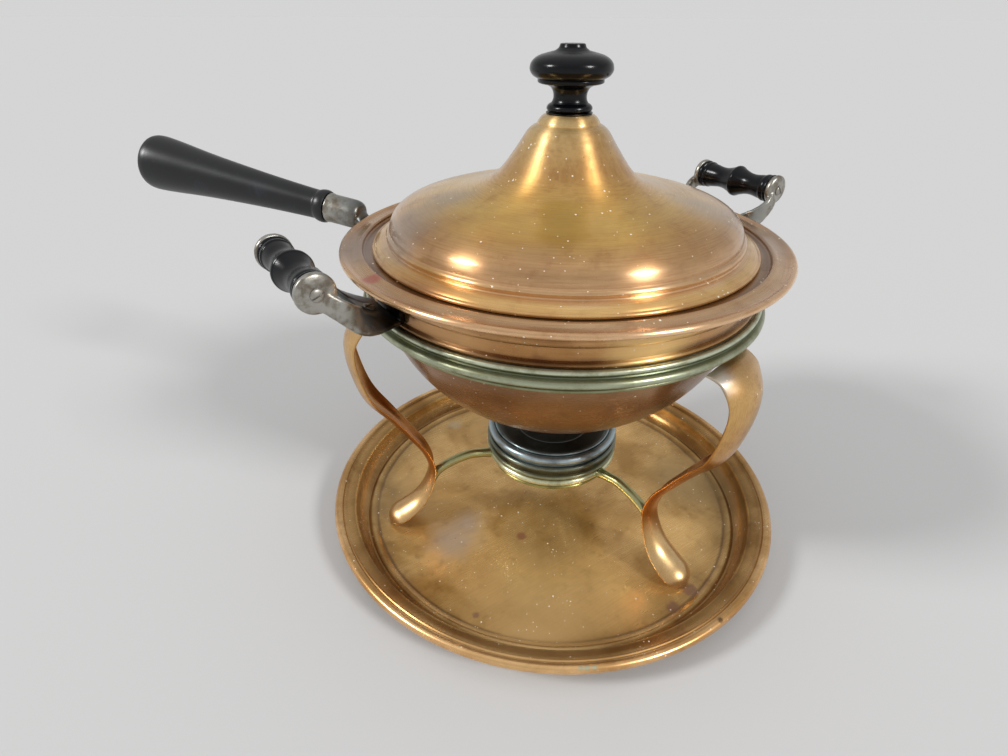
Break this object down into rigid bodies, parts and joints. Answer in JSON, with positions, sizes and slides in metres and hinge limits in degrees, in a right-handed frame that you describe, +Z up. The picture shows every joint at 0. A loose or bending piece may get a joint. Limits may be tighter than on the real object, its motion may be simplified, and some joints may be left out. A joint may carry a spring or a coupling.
{
  "type": "chafing dish",
  "caption": "Round copper chafing dish with a spirit burner under a water pan, a handled food pan and a domed lid, in a footed stand on its own tray.",
  "frame": {"origin": "middle of the tray's underside, where it rests on the table", "axes": "+Z up; the side grips lie across X, one at +X and one at -X; the long handle points up and out at 128 degrees from +X towards +Y"},
  "size_m": [0.356, 0.3898, 0.2986],
  "materials": {
    "copper": "polished copper, worn to a soft sheen",
    "tray_copper": "aged copper, brown and scratched",
    "brass": "aged moulded brass with a greenish cast",
    "nickel": "worn nickel plate on castings",
    "dark_metal": "darkened spun metal",
    "steel": "plain steel",
    "ebonised_wood": "turned, black and polished",
    "mineral_wool": "packed wool"
  },
  "bodies": {
    "tray": {"tray": "tray_copper"},
    "stand": {"stand_ring": "brass", "leg_1": "copper", "leg_2": "copper", "leg_3": "copper", "burner_strut_1": "brass", "burner_strut_2": "brass", "burner_strut_3": "brass", "burner_holder": "brass"},
    "burner": {"burner_can": "dark_metal", "wick_packing": "mineral_wool", "wick_gauze": "steel", "burner_collar": "dark_metal"},
    "snuffer": {"snuffer_lid": "dark_metal"},
    "water_pan": {"water_pan": "copper", "bracket_lug_right": "brass", "bracket_right": "nickel", "bracket_screw_right": "steel", "side_grip_right": "ebonised_wood", "grip_screw_right_a": "steel", "grip_screw_right_b": "steel", "bracket_lug_left": "brass", "bracket_left": "nickel", "bracket_screw_left": "steel", "side_grip_left": "ebonised_wood", "grip_screw_left_a": "steel", "grip_screw_left_b": "steel"},
    "food_pan": {"food_pan": "copper", "handle_socket": "nickel", "handle_tang": "steel", "long_handle": "ebonised_wood"},
    "lid": {"lid": "copper", "lid_knob": "ebonised_wood", "knob_collar": "nickel", "knob_washer": "steel", "knob_screw": "steel"}
  },
  "joints": [
    {"name": "stand_lift", "type": "slide", "parent": "tray", "child": "stand", "axis": [0, 0, 1], "range_m": [0, 0.15]},
    {"name": "burner_lift", "type": "slide", "parent": "stand", "child": "burner", "axis": [0, 0, 1], "range_m": [0, 0.01]},
    {"name": "snuffer_lift", "type": "slide", "parent": "burner", "child": "snuffer", "axis": [0, 0, 1], "range_m": [0, 0.008]},
    {"name": "water_pan_lift", "type": "slide", "parent": "stand", "child": "water_pan", "axis": [0, 0, 1], "range_m": [0, 0.15]},
    {"name": "food_pan_lift", "type": "slide", "parent": "water_pan", "child": "food_pan", "axis": [0, 0, 1], "range_m": [0, 0.12]},
    {"name": "lid_lift", "type": "slide", "parent": "food_pan", "child": "lid", "axis": [0, 0, 1], "range_m": [0, 0.2]}
  ]
}
